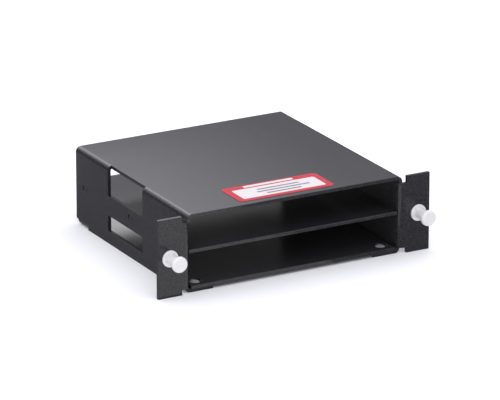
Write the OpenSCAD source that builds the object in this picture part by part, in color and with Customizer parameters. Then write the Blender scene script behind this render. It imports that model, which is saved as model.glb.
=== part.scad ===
// Two-deck plug-in carrier for fibre cassettes: a folded sheet-metal housing with two
// mounting ears, a middle shelf, a riveted floor shelf and two push-pull latches.
// Millimetres, +Z up, front towards -Y. The origin is below the middle of the whole
// object's box, on the plane that it stands on.

/* [Housing] */
// Outer width of the folded housing, without the ears
body_w = 103; // [80:0.5:112]
// Depth from the front plane to the back edge
body_d = 101.6; // [95:0.1:160]
// Outer height of the housing
body_h = 34.8; // [30:0.1:45]
// Thickness of every metal sheet
sheet_t = 1.5; // [1:0.1:2]
// Outer radius of every bend
bend_r = 2.4; // [2.1:0.1:3]

/* [Ears] */
// Width across both ears
overall_w = 130; // [128:0.5:145]
// Height of an ear
ear_h = 34.4; // [28:0.1:34.4]
// Width of the relief notch between an ear and the housing
notch_w = 2.4; // [1:0.1:3]
// Depth of the relief notch at the top of an ear
notch_top = 3.0; // [2.4:0.1:5]
// Depth of the relief notch at the bottom of an ear
notch_bottom = 2.4; // [2.4:0.1:5]

/* [Windows in the left wall] */
// Distance from the front plane to the front edge of the windows
window_front = 39.8; // [30:0.1:45]
// Length of the windows
window_len = 31.8; // [20:0.1:45]
// Height of each window sill above the shelf inside it
window_sill = 2.7; // [1:0.1:5]
// Height of the lower window
lower_window_h = 7.0; // [5:0.1:9]
// How far the upper window cuts into the top, from the outer face of the wall
window_top_cut = 2.0; // [1.5:0.1:4]

/* [Shelves] */
// Distance of the front edges of both shelves behind the front plane
shelf_setback = 1.0; // [0.5:0.1:2]
// Gap between the middle shelf and each side wall
mid_shelf_gap = 0.1; // [0.05:0.05:0.3]
// Gap between the floor shelf and each side wall, which clears the inside of the bends
floor_gap = 1.0; // [1:0.1:2]
// Width of each tab of the middle shelf
shelf_tab_w = 3.0; // [2:0.1:6]
// Distance between neighbouring tabs of the middle shelf
shelf_tab_pitch = 42.4; // [38:0.1:44]
// Gap at each end of a tab in its slot
slot_end_gap = 0.6; // [0.2:0.1:1]
// Gap above a tab in its slot
slot_gap = 0.1; // [0.05:0.05:0.2]
// Distance from the end of a tab to the outer face of the wall
tab_inset = 0.1; // [0:0.1:0.5]

/* [Floor tabs] */
// Width of each tab folded in under the floor shelf, from the outer face of the wall
floor_tab_w = 13; // [10:0.1:16]
// Length of each floor tab along the depth
floor_tab_len = 9.5; // [8:0.1:14]
// Distance of the floor tabs behind the front plane, and before the back edge
floor_tab_setback = 1.6; // [1.5:0.1:3]

/* [Rivets] */
// Distance of each rivet from the outer face of the wall
rivet_inset = 6.8; // [6:0.1:7.5]
// Radius of the rivet shank
rivet_r = 1.6; // [1.2:0.1:1.8]
// Radius of the rivet head
rivet_head_r = 2.1; // [2:0.05:2.3]
// Radius of the formed recess in the shelf, at its mouth
recess_r = 3.0; // [2.8:0.1:3.4]
// Depth of the formed recess
recess_depth = 0.9; // [0.6:0.1:1]
// Depth of the countersink under each rivet
countersink = 0.6; // [0.5:0.1:0.9]

/* [Label] */
// Width of the label on the top
label_w = 45.5; // [30:0.5:60]
// Length of the label along the depth
label_d = 18; // [12:0.5:30]
// Thickness of the label
label_t = 0.15; // [0.1:0.05:0.3]
// Radius of the label's corners
label_r = 2.2; // [1:0.1:4]
// Distance of the label behind the front edge
label_setback = 3.4; // [2:0.1:10]
// Offset of the label to the left of the middle
label_left = 1.8; // [0:0.1:5]

/* [Latches] */
// Distance of each latch axis from the outer face of the wall
latch_out = 8.0; // [7:0.1:9]
// Radius of the grommet's legs behind the ear
leg_r = 2.7; // [2.6:0.05:2.75]
// Radius of the grommet's barrel, which sits in the ear
barrel_r = 3.0; // [2.95:0.05:3.2]
// Radius of the grommet's flange in front of the ear
flange_r = 3.6; // [3.5:0.1:4.5]
// Thickness of the grommet's flange
flange_t = 0.9; // [0.7:0.1:1.5]
// Length of the grommet behind the ear
leg_len = 5.0; // [4:0.1:8]
// Width of the slits between the grommet's legs
slit_w = 0.7; // [0.4:0.1:1]
// Radius of the plunger's shaft
shaft_r = 2.15; // [1.9:0.05:2.2]
// Gap around the shaft in the grommet
shaft_gap = 0.05; // [0.02:0.01:0.1]
// Radius of the plunger's knob
knob_r = 3.4; // [3.2:0.1:4.2]
// Thickness of the knob
knob_t = 2.0; // [1.6:0.1:3.5]
// Distance from the face of the flange to the face of the knob, pulled out
knob_reach = 8.6; // [8.2:0.1:10]
// How far the plunger is pushed in to lock
latch_travel = 5.6; // [4:0.1:5.6]
// Length of the straight shaft behind the pushed-in knob
shaft_len = 5.4; // [4:0.1:7]
// Length of the plunger's tapered tip
tip_len = 2.2; // [1.5:0.1:3]
// Radius of the end of that tip
tip_r = 1.1; // [0.8:0.1:1.6]

/* [Hidden] */
$fn = 48;
// Overlap between solids that join, and how far a cutter reaches past its solid
eps = 0.01;
past = 1;
// Radial gap between a rivet or grommet and its hole
hole_gap = 0.05;
// Inner radius of every bend
bend_inner_r = bend_r - sheet_t;
// The front plane, which puts the middle of the whole object's box at y = 0
front_y = -(body_d - flange_t - knob_reach) / 2;
back_y = front_y + body_d;
half_w = body_w / 2;
// Clear height of each of the two equal decks
deck_h = (body_h - 4 * sheet_t) / 2;
// Top faces of the two shelves
floor_top = 2 * sheet_t;
mid_top = floor_top + deck_h + sheet_t;
mid_y = (front_y + back_y) / 2;
ear_inner = half_w + bend_inner_r;
latch_z = ear_h / 2;
ear_hole_r = barrel_r + hole_gap;
rivet_hole_r = rivet_r + hole_gap;
// Underside of the rivet heads
rivet_head_z = floor_top - recess_depth;
knob_face = flange_t + knob_reach;

// A box from one corner to the opposite one
module block(low, high) {
    translate(low) cube(high - low);
}

// One quarter of a bent sheet about the local Z axis, on the +X +Y side, h long
module quarter_bend(h) {
    intersection() {
        difference() {
            cylinder(r = bend_r, h = h);
            translate([0, 0, -past]) cylinder(r = bend_inner_r, h = h + 2 * past);
        }
        translate([0, 0, -past]) cube([bend_r + past, bend_r + past, h + 2 * past]);
    }
}

// The same shape on both sides of the housing
module both_sides() {
    children();
    mirror([1, 0, 0]) children();
}

// Puts a child, built along +Z, on the latch axis of one side, pointing out at the front
module on_latch(side) {
    translate([side * (half_w + latch_out), front_y, latch_z]) rotate([90, 0, 0]) children();
}

// Places of the floor tabs and their rivets: side is -1 or 1, rear is 0 or 1
function floor_tab_y(rear) = rear == 0
    ? front_y + floor_tab_setback
    : back_y - floor_tab_setback - floor_tab_len;
function rivet_x(side) = side * (half_w - rivet_inset);
function rivet_y(rear) = floor_tab_y(rear) + floor_tab_len / 2;

// The tabs of the middle shelf are centred on these depths
shelf_tab_ys = [for (i = [-1:1]) mid_y + i * shelf_tab_pitch];

// Right-hand side wall with its ear, bends and floor tabs
module side_wall() {
    wall_in = half_w - sheet_t;
    ear_top = ear_h - notch_top;
    // Wall behind the ear's bend, down to the level where the floor tabs start to curve
    block([wall_in, front_y + bend_r, bend_r], [half_w, back_y, body_h - bend_r]);
    // Wall in front of that line, above the ear's notch
    block([wall_in, front_y, ear_top], [half_w, front_y + bend_r + eps, body_h - bend_r]);
    // Plain bottom strip of the wall between the two floor tabs
    block([wall_in, floor_tab_y(0) + floor_tab_len, 0],
          [half_w, floor_tab_y(1), bend_r + eps]);
    // Bend from the wall to the ear, concave side outwards
    translate([ear_inner, front_y + bend_r, notch_bottom])
        rotate([0, 0, 180]) quarter_bend(ear_top - notch_bottom);
    // Ear, with its relief notches at the top and the bottom
    block([ear_inner - eps, front_y, notch_bottom],
          [half_w + notch_w + eps, front_y + sheet_t, ear_top]);
    block([half_w + notch_w, front_y, 0],
          [overall_w / 2, front_y + sheet_t, ear_h]);
    // Floor tabs and their bends
    for (rear = [0, 1]) {
        y = floor_tab_y(rear);
        translate([half_w - bend_r, y + floor_tab_len, bend_r])
            rotate([90, 0, 0]) mirror([0, 1, 0]) quarter_bend(floor_tab_len);
        block([half_w - floor_tab_w, y, 0],
              [half_w - bend_r + eps, y + floor_tab_len, sheet_t]);
    }
}

// Openings in the left-hand wall, one for each deck
module left_windows() {
    window_y = front_y + window_front;
    // Lower window
    block([-half_w - past, window_y, floor_top + window_sill],
          [-half_w + sheet_t + past, window_y + window_len,
           floor_top + window_sill + lower_window_h]);
    // Upper window, open through the bend into the top
    block([-half_w - past, window_y, mid_top + window_sill],
          [-half_w + window_top_cut, window_y + window_len, body_h + past]);
}

// Slots in the right-hand wall for the tabs of the middle shelf
module shelf_slots() {
    slot_half = shelf_tab_w / 2 + slot_end_gap;
    for (y = shelf_tab_ys)
        block([half_w - sheet_t - past, y - slot_half, mid_top - sheet_t],
              [half_w + past, y + slot_half, mid_top + slot_gap]);
}

module housing_shell() {
    color([0.11, 0.11, 0.12])
    difference() {
        union() {
            // Top plate
            block([-half_w + bend_r - eps, front_y, body_h - sheet_t],
                  [half_w - bend_r + eps, back_y, body_h]);
            both_sides() {
                side_wall();
                // Bend from the top to the wall, along the whole depth
                translate([half_w - bend_r, back_y, body_h - bend_r])
                    rotate([90, 0, 0]) quarter_bend(body_d);
            }
        }
        left_windows();
        both_sides() {
            shelf_slots();
            // Hole for the latch in the ear
            translate([half_w + latch_out, front_y + sheet_t + past, latch_z])
                rotate([90, 0, 0]) cylinder(r = ear_hole_r, h = sheet_t + 2 * past);
            // Rivet holes in the floor tabs, countersunk from below
            for (rear = [0, 1])
                translate([rivet_x(1), rivet_y(rear), -eps]) {
                    cylinder(r = rivet_hole_r, h = sheet_t + past);
                    cylinder(r1 = rivet_head_r + 2 * hole_gap, r2 = rivet_hole_r,
                             h = countersink);
                }
        }
    }
}

module middle_shelf() {
    color([0.13, 0.13, 0.14]) {
        shelf_half = half_w - sheet_t - mid_shelf_gap;
        block([-shelf_half, front_y + shelf_setback, mid_top - sheet_t],
              [shelf_half, back_y, mid_top]);
        both_sides()
            for (y = shelf_tab_ys)
                block([shelf_half - eps, y - shelf_tab_w / 2, mid_top - sheet_t],
                      [half_w - tab_inset, y + shelf_tab_w / 2, mid_top]);
    }
}

module floor_shelf() {
    shelf_half = half_w - sheet_t - floor_gap;
    color([0.13, 0.13, 0.14])
    difference() {
        block([-shelf_half, front_y + shelf_setback, sheet_t],
              [shelf_half, back_y - shelf_setback, floor_top]);
        // A formed recess and a hole at each rivet
        for (side = [-1, 1], rear = [0, 1])
            translate([rivet_x(side), rivet_y(rear), 0]) {
                cylinder(r = rivet_hole_r, h = floor_top + past);
                translate([0, 0, rivet_head_z])
                    cylinder(r1 = rivet_head_r + 3 * hole_gap, r2 = recess_r,
                             h = recess_depth + eps);
            }
    }
}

// A rivet: low domed head in the recess, shank, and a tail set into the floor tab's countersink
module rivet(side, rear) {
    tail_z = 0.05;
    rim_h = 0.35;
    dome_h = 0.43;
    color([0.75, 0.75, 0.77])
    translate([rivet_x(side), rivet_y(rear), 0])
        rotate_extrude()
            polygon(concat(
                [[0, tail_z], [rivet_head_r, tail_z], [rivet_r, countersink - tail_z],
                 [rivet_r, rivet_head_z], [rivet_head_r, rivet_head_z]],
                [for (a = [0:22.5:90])
                    [rivet_head_r * cos(a), rivet_head_z + rim_h + dome_h * sin(a)]]));
}

module top_label() {
    color([0.93, 0.93, 0.92])
    translate([-label_left - label_w / 2, front_y + label_setback, body_h]) {
        block([label_r, 0, 0], [label_w - label_r, label_d, label_t]);
        block([0, label_r, 0], [label_w, label_d - label_r, label_t]);
        for (x = [label_r, label_w - label_r], y = [label_r, label_d - label_r])
            translate([x, y, 0]) cylinder(r = label_r, h = label_t);
    }
}

// Snap-in grommet: flange in front of the ear, barrel through it, four legs behind it
module grommet(side) {
    bore_r = shaft_r + shaft_gap;
    leg_end = -sheet_t - leg_len;
    edge = 0.3;
    leg_taper = 0.6;
    slit_start = -sheet_t - 0.5;
    color([0.93, 0.93, 0.92])
    on_latch(side)
        difference() {
            rotate_extrude()
                polygon([[bore_r, flange_t], [flange_r - edge, flange_t],
                         [flange_r, flange_t - edge], [flange_r, 0],
                         [barrel_r, 0], [barrel_r, -sheet_t], [leg_r, -sheet_t],
                         [leg_r, leg_end + leg_taper], [leg_r - edge, leg_end],
                         [bore_r, leg_end]]);
            for (turn = [45, 135])
                rotate([0, 0, turn])
                    block([-barrel_r, -slit_w / 2, leg_end - past],
                          [barrel_r, slit_w / 2, slit_start]);
        }
}

// Plunger: round knob with soft edges, on a shaft with a flared neck and a tapered tip
module plunger(side) {
    knob_back = knob_face - knob_t;
    shaft_end = knob_back - latch_travel - shaft_len;
    round_r = 0.8;
    edge = 0.4;
    neck = 0.3;
    color([0.95, 0.95, 0.94])
    on_latch(side)
        rotate_extrude()
            polygon(concat(
                [[0, shaft_end - tip_len], [tip_r, shaft_end - tip_len],
                 [shaft_r, shaft_end], [shaft_r, knob_back - neck],
                 [shaft_r + neck, knob_back], [knob_r - edge, knob_back],
                 [knob_r, knob_back + edge]],
                [for (a = [0:22.5:90])
                    [knob_r + round_r * (cos(a) - 1), knob_face + round_r * (sin(a) - 1)]],
                [[0, knob_face]]));
}

housing_shell();
middle_shelf();
floor_shelf();
rivet(-1, 0);  // rivet_front_left
rivet(1, 0);  // rivet_front_right
rivet(-1, 1);  // rivet_rear_left
rivet(1, 1);  // rivet_rear_right
top_label();
grommet(-1);  // grommet_left
grommet(1);  // grommet_right
plunger(-1);  // plunger_left
plunger(1);  // plunger_right
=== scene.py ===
"""Looks for the two-deck plug-in cassette carrier. Everything is in metres, in the CAD frame."""

import math

import bmesh
import bpy
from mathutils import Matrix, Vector


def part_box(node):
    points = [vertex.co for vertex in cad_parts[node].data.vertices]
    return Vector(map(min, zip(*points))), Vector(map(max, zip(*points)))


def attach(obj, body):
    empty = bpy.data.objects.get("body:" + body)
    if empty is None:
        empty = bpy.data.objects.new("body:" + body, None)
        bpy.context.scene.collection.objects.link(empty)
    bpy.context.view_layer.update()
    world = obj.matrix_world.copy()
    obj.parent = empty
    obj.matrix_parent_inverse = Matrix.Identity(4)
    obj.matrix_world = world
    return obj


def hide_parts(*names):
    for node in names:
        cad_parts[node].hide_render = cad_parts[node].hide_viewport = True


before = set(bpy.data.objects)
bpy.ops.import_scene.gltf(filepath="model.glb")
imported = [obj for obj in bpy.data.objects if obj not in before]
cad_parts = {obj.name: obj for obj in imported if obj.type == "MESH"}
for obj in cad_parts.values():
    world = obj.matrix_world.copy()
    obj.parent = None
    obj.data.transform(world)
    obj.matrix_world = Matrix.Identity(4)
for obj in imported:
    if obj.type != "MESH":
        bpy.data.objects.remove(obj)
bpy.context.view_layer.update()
MM = 0.001

# ---------------------------------------------------------------- view
CAMERA_AZIMUTH = math.radians(-28.89)
CAMERA_ELEVATION = math.radians(19.20)
CAMERA_DISTANCE = 1.8577
CAMERA_LENS = 313.2
CAMERA_AIM = Vector((4.13, 1.11, 17.66)) * MM


def make_camera():
    """A long lens from the front left, a little above the object."""
    data = bpy.data.cameras.new("camera")
    data.lens = CAMERA_LENS
    data.sensor_width = 36
    data.clip_start = 0.05
    data.clip_end = 50
    camera = bpy.data.objects.new("camera", data)
    bpy.context.scene.collection.objects.link(camera)
    flat = math.cos(CAMERA_ELEVATION)
    back = Vector((math.sin(CAMERA_AZIMUTH) * flat, -math.cos(CAMERA_AZIMUTH) * flat,
                   math.sin(CAMERA_ELEVATION)))
    camera.location = CAMERA_AIM + back * CAMERA_DISTANCE
    camera.rotation_mode = "QUATERNION"
    camera.rotation_quaternion = (-back).to_track_quat("-Z", "Y")
    bpy.context.scene.camera = camera


# ---------------------------------------------------------------- node helpers
class Nodes:
    """Short calls for building one node tree."""

    def __init__(self, tree):
        self.tree = tree

    def add(self, kind, **values):
        node = self.tree.nodes.new("ShaderNode" + kind)
        for name, value in values.items():
            setattr(node, name, value)
        return node

    def link(self, source, target):
        self.tree.links.new(source, target)

    def coordinates(self):
        """Object coordinates, which are metres in the CAD frame."""
        return self.add("TexCoord").outputs["Object"]

    def noise(self, size, detail=2.0, roughness=0.5, stretch=(1, 1, 1)):
        """Noise whose features are about size metres wide."""
        mapping = self.add("Mapping")
        mapping.inputs["Scale"].default_value = stretch
        self.link(self.coordinates(), mapping.inputs["Vector"])
        noise = self.add("TexNoise")
        noise.inputs["Scale"].default_value = 1 / size
        noise.inputs["Detail"].default_value = detail
        noise.inputs["Roughness"].default_value = roughness
        self.link(mapping.outputs["Vector"], noise.inputs["Vector"])
        return noise.outputs["Fac"]

    def spread(self, source, low, high, from_low=0.3, from_high=0.7):
        """Maps a value, by default the middle of a noise, to the range low to high."""
        node = self.add("MapRange")
        node.inputs["From Min"].default_value = from_low
        node.inputs["From Max"].default_value = from_high
        node.inputs["To Min"].default_value = low
        node.inputs["To Max"].default_value = high
        self.link(source, node.inputs["Value"])
        return node.outputs["Result"]

    def between(self, source, first, second):
        """Mixes two colours by a value."""
        node = self.add("Mix", data_type="RGBA")
        node.inputs["A"].default_value = (*first, 1)
        node.inputs["B"].default_value = (*second, 1)
        self.link(source, node.inputs["Factor"])
        return node.outputs["Result"]

    def bump(self, source, height, normal=None):
        """A bump whose full height is height metres."""
        node = self.add("Bump")
        node.inputs["Strength"].default_value = 1
        node.inputs["Distance"].default_value = height
        self.link(source, node.inputs["Height"])
        if normal is not None:
            self.link(normal, node.inputs["Normal"])
        return node.outputs["Normal"]


def new_material(name, kind="BsdfPrincipled"):
    """A material with one shader, that shader and the helper for its node tree."""
    material = bpy.data.materials.new(name)
    material.use_nodes = True
    material.node_tree.nodes.clear()
    nodes = Nodes(material.node_tree)
    shader = nodes.add(kind)
    output = nodes.add("OutputMaterial")
    nodes.link(shader.outputs[0], output.inputs["Surface"])
    return material, shader, nodes


# ---------------------------------------------------------------- materials
def powder_coat(name, dark, light, smooth, rough):
    """Semi-gloss black powder coat: orange peel, fine grain and faint clouds in gloss."""
    material, shader, nodes = new_material(name)
    grain = nodes.noise(0.7 * MM, detail=3, roughness=0.6)
    peel = nodes.noise(1.8 * MM, detail=1)
    clouds = nodes.noise(24 * MM, detail=3)
    nodes.link(nodes.between(nodes.spread(grain, 0, 1), dark, light),
               shader.inputs["Base Color"])
    nodes.link(nodes.spread(clouds, smooth, rough), shader.inputs["Roughness"])
    soft = nodes.bump(peel, 0.005 * MM)
    nodes.link(nodes.bump(grain, 0.005 * MM, soft), shader.inputs["Normal"])
    shader.inputs["IOR"].default_value = 1.5
    return material


def white_nylon():
    """Moulded white nylon, a little translucent, with a fine spark-eroded skin."""
    material, shader, nodes = new_material("white_nylon")
    skin = nodes.noise(0.25 * MM, detail=2)
    clouds = nodes.noise(3 * MM, detail=2)
    nodes.link(nodes.between(nodes.spread(clouds, 0, 1), (0.70, 0.70, 0.69), (0.75, 0.75, 0.735)),
               shader.inputs["Base Color"])
    nodes.link(nodes.spread(clouds, 0.36, 0.5), shader.inputs["Roughness"])
    nodes.link(nodes.bump(skin, 0.004 * MM), shader.inputs["Normal"])
    shader.inputs["IOR"].default_value = 1.53
    shader.inputs["Subsurface Weight"].default_value = 0.15
    shader.inputs["Subsurface Radius"].default_value = (1.0, 0.95, 0.9)
    shader.inputs["Subsurface Scale"].default_value = 0.6 * MM
    return material


def bright_zinc():
    """Bright zinc plate with fine handling marks."""
    material, shader, nodes = new_material("bright_zinc")
    marks = nodes.noise(0.3 * MM, detail=4, stretch=(1, 6, 1))
    clouds = nodes.noise(1.2 * MM, detail=2)
    nodes.link(nodes.between(nodes.spread(clouds, 0, 1), (0.80, 0.81, 0.82), (0.92, 0.92, 0.93)),
               shader.inputs["Base Color"])
    nodes.link(nodes.spread(marks, 0.4, 0.55), shader.inputs["Roughness"])
    nodes.link(nodes.bump(marks, 0.003 * MM), shader.inputs["Normal"])
    shader.inputs["Metallic"].default_value = 0.7
    return material


def printed_ink(name, first, second):
    """One ink of the label: a satin film with faint mottling in colour and gloss."""
    material, shader, nodes = new_material(name)
    mottle = nodes.noise(0.8 * MM, detail=3)
    weave = nodes.noise(4 * MM, detail=1)
    nodes.link(nodes.between(nodes.spread(mottle, 0, 1), first, second),
               shader.inputs["Base Color"])
    nodes.link(nodes.spread(weave, 0.5, 0.62), shader.inputs["Roughness"])
    nodes.link(nodes.bump(weave, 0.008 * MM), shader.inputs["Normal"])
    shader.inputs["IOR"].default_value = 1.45
    shader.inputs["Specular IOR Level"].default_value = 0.2
    return material


def pale_floor():
    """A matt white floor with hardly visible clouds."""
    material, shader, nodes = new_material("pale_floor")
    clouds = nodes.noise(60 * MM, detail=2)
    nodes.link(nodes.between(nodes.spread(clouds, 0, 1), (0.91, 0.91, 0.91), (0.93, 0.93, 0.93)),
               shader.inputs["Base Color"])
    shader.inputs["Roughness"].default_value = 0.9
    shader.inputs["Specular IOR Level"].default_value = 0
    return material


# ---------------------------------------------------------------- mesh helpers
# Edges sharper than this are rounded. The facets of the bends meet at less than 10 degrees.
SHARP_ANGLE = math.radians(35)
# Distances and angles that a CAD copy's surface is cleaned with
WELD_GAP = 0.002 * MM
FLAT_ANGLE = math.radians(0.5)


def new_object(name, mesh):
    obj = bpy.data.objects.new(name, mesh)
    bpy.context.scene.collection.objects.link(obj)
    return obj


def mesh_object(name, work):
    """An object from a bmesh, with its faces turned outwards and shaded smooth."""
    bmesh.ops.recalc_face_normals(work, faces=work.faces)
    for face in work.faces:
        face.smooth = True
    mesh = bpy.data.meshes.new(name)
    work.to_mesh(mesh)
    work.free()
    return new_object(name, mesh)


def apply_modifiers(obj):
    """Bakes an object's modifiers into its mesh, with flat faces shaded flat."""
    flatten = obj.modifiers.new("flatten", "WEIGHTED_NORMAL")
    flatten.mode = "FACE_AREA"
    flatten.weight = 100
    graph = bpy.context.evaluated_depsgraph_get()
    mesh = bpy.data.meshes.new_from_object(obj.evaluated_get(graph))
    obj.modifiers.clear()
    obj.data = mesh


def clean_copy(node, name):
    """A copy of a CAD node's surface, welded, with its flat faces joined up again."""
    work = bmesh.new()
    work.from_mesh(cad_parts[node].data)
    bmesh.ops.remove_doubles(work, verts=work.verts, dist=WELD_GAP)
    bmesh.ops.dissolve_limit(work, angle_limit=FLAT_ANGLE, verts=work.verts, edges=work.edges)
    return mesh_object(name, work)


def soften(obj, width, materials):
    """Rounds an object's sharp edges. The rounded strips take the second material, if any."""
    for material in materials:
        obj.data.materials.append(material)
    bevel = obj.modifiers.new("bevel", "BEVEL")
    bevel.width = width
    bevel.segments = 2
    bevel.limit_method = "ANGLE"
    bevel.angle_limit = SHARP_ANGLE
    bevel.use_clamp_overlap = True
    if len(materials) > 1:
        bevel.material = 1
    apply_modifiers(obj)


def fillet(corner, before, after, radius, steps=6):
    """Points of a round that replaces one corner of a profile, as (radius, height) pairs."""
    corner, before, after = Vector(corner), Vector(before), Vector(after)
    back, ahead = (before - corner).normalized(), (after - corner).normalized()
    half = back.angle(ahead) / 2
    reach = radius / math.tan(half)
    centre = corner + (back + ahead).normalized() * (radius / math.sin(half))
    start, end = corner + back * reach - centre, corner + ahead * reach - centre
    turn = start.angle_signed(end)
    points = []
    for i in range(steps + 1):
        cos, sin = math.cos(turn * i / steps), math.sin(turn * i / steps)
        points.append(centre + Vector((start.x * cos + start.y * sin, start.y * cos - start.x * sin)))
    return points


def lathe(name, corners, origin, along, material, steps=72):
    """A turned piece. Each corner is (radius, height, round), in metres along the axis."""
    points = []
    for index, (radius, height, round_r) in enumerate(corners):
        if round_r:
            points += fillet((radius, height), corners[index - 1][:2], corners[index + 1][:2],
                             round_r)
        else:
            points.append(Vector((radius, height)))
    turn = Vector((0, 0, 1)).rotation_difference(Vector(along)).to_matrix()
    work = bmesh.new()
    rings = []
    for radius, height in points:
        ring = []
        # A point on the axis is one vertex, not a ring
        for i in range(steps if radius > 0 else 1):
            angle = math.tau * i / steps
            ring.append(work.verts.new(Vector(origin) + turn @ Vector(
                (radius * math.cos(angle), radius * math.sin(angle), height))))
        rings.append(ring)
    for low, high in zip(rings, rings[1:]):
        for i in range(steps):
            j = (i + 1) % steps
            loop = (low[i % len(low)], low[j % len(low)], high[j % len(high)], high[i % len(high)])
            work.faces.new(list(dict.fromkeys(loop)))
    obj = mesh_object(name, work)
    obj.data.materials.append(material)
    apply_modifiers(obj)
    return obj


def round_slab(name, low, high, radius, material, steps=8):
    """A thin plate between two corners, with rounded corners in plan."""
    work = bmesh.new()
    rings = []
    for z in (low[2], high[2]):
        ring = []
        for quarter, (x, y) in enumerate(((high[0] - radius, high[1] - radius),
                                          (low[0] + radius, high[1] - radius),
                                          (low[0] + radius, low[1] + radius),
                                          (high[0] - radius, low[1] + radius))):
            for i in range(steps + 1):
                angle = (quarter + i / steps) * math.pi / 2
                ring.append(work.verts.new((x + radius * math.cos(angle),
                                            y + radius * math.sin(angle), z)))
        rings.append(ring)
    work.faces.new(rings[1])
    work.faces.new(list(reversed(rings[0])))
    for i in range(len(rings[0])):
        j = (i + 1) % len(rings[0])
        work.faces.new((rings[0][i], rings[0][j], rings[1][j], rings[1][i]))
    obj = mesh_object(name, work)
    obj.data.materials.append(material)
    for face in obj.data.polygons:
        face.use_smooth = False
    return obj


def finish_piece(obj, node, body="housing"):
    """Puts a piece in its CAD node's place."""
    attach(obj, body)
    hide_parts(node)


# ---------------------------------------------------------------- the object
def make_metalwork():
    """The folded housing and its two shelves, with the paint rounding every cut edge. The rounded
    strips take a lighter coat, a painted highlight along the edges.
    """
    paint = powder_coat("powder_coat", (0.010, 0.010, 0.011), (0.036, 0.036, 0.040), 0.11, 0.15)
    # Lighter, rougher coat for the rounded edge strips: a painted highlight along the cut edges
    edge = powder_coat("powder_coat_edge_highlight", (0.022, 0.022, 0.025), (0.046, 0.046, 0.051), 0.14, 0.2)
    for node in ("housing_shell", "middle_shelf", "floor_shelf"):
        obj = clean_copy(node, "painted_" + node)
        soften(obj, 0.22 * MM, [paint, edge])
        finish_piece(obj, node)


def make_rivets():
    """Turned rivets: a domed head, a shank and a flared tail."""
    zinc = bright_zinc()
    shank, tail, dome, edge, edge_round = 1.6 * MM, 0.5 * MM, 0.5 * MM, 0.28 * MM, 0.08 * MM
    for place in ("front_left", "front_right", "rear_left", "rear_right"):
        node = "rivet_" + place
        low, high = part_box(node)
        head, height = (high[0] - low[0]) / 2, high[2] - low[2]
        rim = height - dome
        corners = [(0, 0, 0), (head, 0, 0), (shank, tail, 0), (shank, rim - edge, 0),
                   (head, rim - edge, edge_round)]
        for degrees in range(0, 90, 15):
            angle = math.radians(degrees)
            corners.append((head * math.cos(angle), rim + dome * math.sin(angle), 0))
        corners.append((0, height, 0))
        obj = lathe("zinc_" + node, corners, ((low[0] + high[0]) / 2, (low[1] + high[1]) / 2, low[2]),
                    (0, 0, 1), zinc)
        finish_piece(obj, node)


def make_latches():
    """The grommets, and turned plungers whose knobs have soft edges and a shallow dish."""
    nylon = white_nylon()
    shaft, tip, tip_len = 2.15 * MM, 1.1 * MM, 2.2 * MM
    knob_len, dish = 2.0 * MM, 0.15 * MM
    for side in ("left", "right"):
        obj = clean_copy("grommet_" + side, "nylon_grommet_" + side)
        soften(obj, 0.12 * MM, [nylon])
        finish_piece(obj, "grommet_" + side)
        node = "plunger_" + side
        low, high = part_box(node)
        knob, length = (high[0] - low[0]) / 2, high[1] - low[1]
        knob_back, dish_r = length - knob_len, 0.62 * knob
        corners = ((0, 0, 0), (tip, 0, 0.3 * MM), (shaft, tip_len, 0.6 * MM),
                   (shaft, knob_back, 0.35 * MM), (knob, knob_back, 0.4 * MM),
                   (knob, length, 0.75 * MM), (dish_r, length, 0), (0, length - dish, 0))
        obj = lathe("nylon_" + node, corners,
                    ((low[0] + high[0]) / 2, high[1], (low[2] + high[2]) / 2), (0, -1, 0), nylon)
        finish_piece(obj, node, side + "_plunger")


def make_label():
    """A red-edged film with a pale panel, a header band and plain grey bars."""
    red = printed_ink("label_red", (0.47, 0.030, 0.048), (0.52, 0.040, 0.060))
    pale = printed_ink("label_pale", (0.64, 0.60, 0.60), (0.69, 0.65, 0.65))
    grey = printed_ink("label_grey", (0.20, 0.18, 0.19), (0.27, 0.25, 0.26))
    obj = clean_copy("top_label", "printed_top_label")
    soften(obj, 0.03 * MM, [red])
    finish_piece(obj, "top_label")
    low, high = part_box("top_label")

    across, deep = high[0] - low[0], high[1] - low[1]
    sunk = 0.02 * MM

    def print_area(name, left, right, front, back, ink, lift, radius):
        """A printed area, placed by fractions of the label's width and depth."""
        piece = round_slab(name,
                           (low[0] + left * across, low[1] + front * deep, high[2] - sunk),
                           (low[0] + right * across, low[1] + back * deep, high[2] + lift),
                           radius, ink)
        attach(piece, "housing")

    first_lift, second_lift = 0.012 * MM, 0.02 * MM
    print_area("printed_label_panel", 0.07, 0.935, 0.135, 0.765, pale, first_lift, 0.8 * MM)
    print_area("printed_label_header", 0.22, 0.74, 0.825, 0.94, pale, first_lift, 0.3 * MM)
    first_bar, bar_pitch, bar_depth = 0.55, 0.155, 0.07
    for row, (left, right) in enumerate(((0.30, 0.74), (0.27, 0.82), (0.34, 0.70))):
        front = first_bar - row * bar_pitch
        print_area("printed_label_bar_%d" % (row + 1), left, right, front, front + bar_depth,
                   grey, second_lift, 0.15 * MM)


# ---------------------------------------------------------------- light
# Slightly blue, as the greys of the paint are
SKY_TINT = (0.97, 0.97, 1.04)
# Brightness of the sky by the sine of the elevation. The floor hides the part below 0 from
# the camera, but not from the paint's reflections.
SKY = ((-1.0, 0.30), (-0.24, 0.22), (-0.12, 0.12), (-0.02, 0.05), (0.16, 0.08), (0.32, 0.46),
       (0.46, 1.2), (0.65, 1.5), (1.0, 1.8))
# The ramp's colours end at 1, so they are fractions of this brightness
SKY_PEAK = 2.0
# The graded panel's brightness changes along this axis. In the top plate's reflection it runs
# from left to right, so a strip of the plate from front to back keeps one brightness. GRADE
# gives two distances along the axis, in metres, and the brightness at each.
GRADE_AXIS = (0.585, 0, -0.811)
GRADE = ((-0.25, 2.8), (0.0, 0.44))


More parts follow.
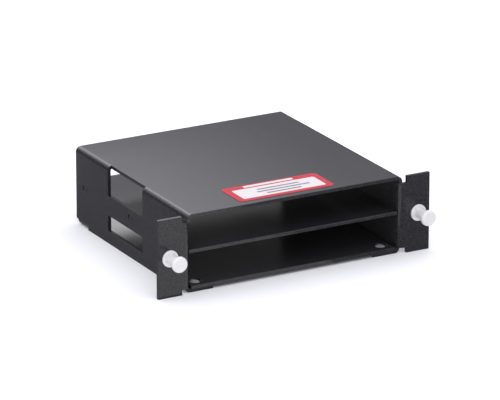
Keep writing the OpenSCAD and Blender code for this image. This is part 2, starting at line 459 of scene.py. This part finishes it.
def area_light(name, place, aim, width, height, radiance):
    """A soft box at a place in metres, pointed at aim, with a given brightness."""
    data = bpy.data.lights.new(name, "AREA")
    data.shape = "RECTANGLE"
    data.size = width
    data.size_y = height
    data.energy = radiance * math.pi * width * height
    light = bpy.data.objects.new(name, data)
    bpy.context.scene.collection.objects.link(light)
    light.location = place
    light.rotation_mode = "QUATERNION"
    light.rotation_quaternion = (Vector(aim) - Vector(place)).to_track_quat("-Z", "Y")
    light.visible_camera = False
    return light


def make_sky():
    """A studio sky that is dark near the horizon and bright overhead."""
    world = bpy.data.worlds.new("studio")
    bpy.context.scene.world = world
    world.use_nodes = True
    nodes = Nodes(world.node_tree)
    background = world.node_tree.nodes["Background"]
    parts = nodes.add("SeparateXYZ")
    nodes.link(nodes.add("TexCoord").outputs["Generated"], parts.inputs["Vector"])
    ramp = nodes.add("ValToRGB")
    elements = ramp.color_ramp.elements
    while len(elements) < len(SKY):
        elements.new(0.5)
    for element, (height, value) in zip(elements, SKY):
        element.position = (height + 1) / 2
        element.color = (*(value / SKY_PEAK * tint for tint in SKY_TINT), 1)
    nodes.link(nodes.spread(parts.outputs["Z"], 0, 1, -1, 1), ramp.inputs["Fac"])
    nodes.link(ramp.outputs["Color"], background.inputs["Color"])
    background.inputs["Strength"].default_value = SKY_PEAK


def stage_quad(name, corners, material):
    """A flat panel of the studio, seen only by reflections."""
    mesh = bpy.data.meshes.new(name)
    mesh.from_pydata(corners, [], [(0, 1, 2, 3)])
    mesh.materials.append(material)
    panel = new_object(name, mesh)
    panel.visible_camera = False
    panel.visible_diffuse = False
    panel.visible_shadow = False


def make_graded_panel():
    """A panel behind the object. Its grading makes the top plate lighter on the left."""
    material, glow, nodes = new_material("graded_panel", "Emission")
    grade = nodes.add("VectorMath", operation="DOT_PRODUCT")
    nodes.link(nodes.coordinates(), grade.inputs[0])
    grade.inputs[1].default_value = GRADE_AXIS
    glow.inputs["Color"].default_value = (*SKY_TINT, 1)
    (near, near_glow), (far, far_glow) = GRADE
    nodes.link(nodes.spread(grade.outputs["Value"], near_glow, far_glow, near, far),
               glow.inputs["Strength"])
    left, right, low, high, depth = -0.1, 0.5, 0.182, 0.6, 0.45
    stage_quad("graded_panel", ((left, depth, low), (right, depth, low), (right, depth, high),
                                (left, depth, high)), material)


def make_bounce_card():
    """A white card on the floor, which the left ear reflects."""
    material, glow, _ = new_material("bounce_card", "Emission")
    glow.inputs["Strength"].default_value = 0.9
    left, right, front, back, height = -0.09, 0.02, -0.2, -0.047, 0.0005
    stage_quad("bounce_card", ((left, front, height), (right, front, height),
                               (right, back, height), (left, back, height)), material)


def make_stage():
    """A pale floor, the sky and the soft boxes."""
    size = 6
    mesh = bpy.data.meshes.new("floor")
    mesh.from_pydata([(-size, -size, 0), (size, -size, 0), (size, size, 0), (-size, size, 0)],
                     [], [(0, 1, 2, 3)])
    floor = new_object("floor", mesh)
    mesh.materials.append(pale_floor())
    floor.visible_glossy = False
    make_sky()
    area_light("key", (-0.6, -0.65, 0.2), (0, 0, 0.02), 0.5, 0.36, 2.5)
    # A low light behind the object for the decks to reflect
    deck_back = area_light("deck_back", (0.01, 0.10, 0.016), (0.01, 0, 0.016), 0.16, 0.032, 1.8)
    deck_back.visible_diffuse = False
    make_graded_panel()
    make_bounce_card()
    bpy.context.scene.view_settings.view_transform = "Standard"


make_camera()
make_stage()
make_metalwork()
make_rivets()
make_latches()
make_label()
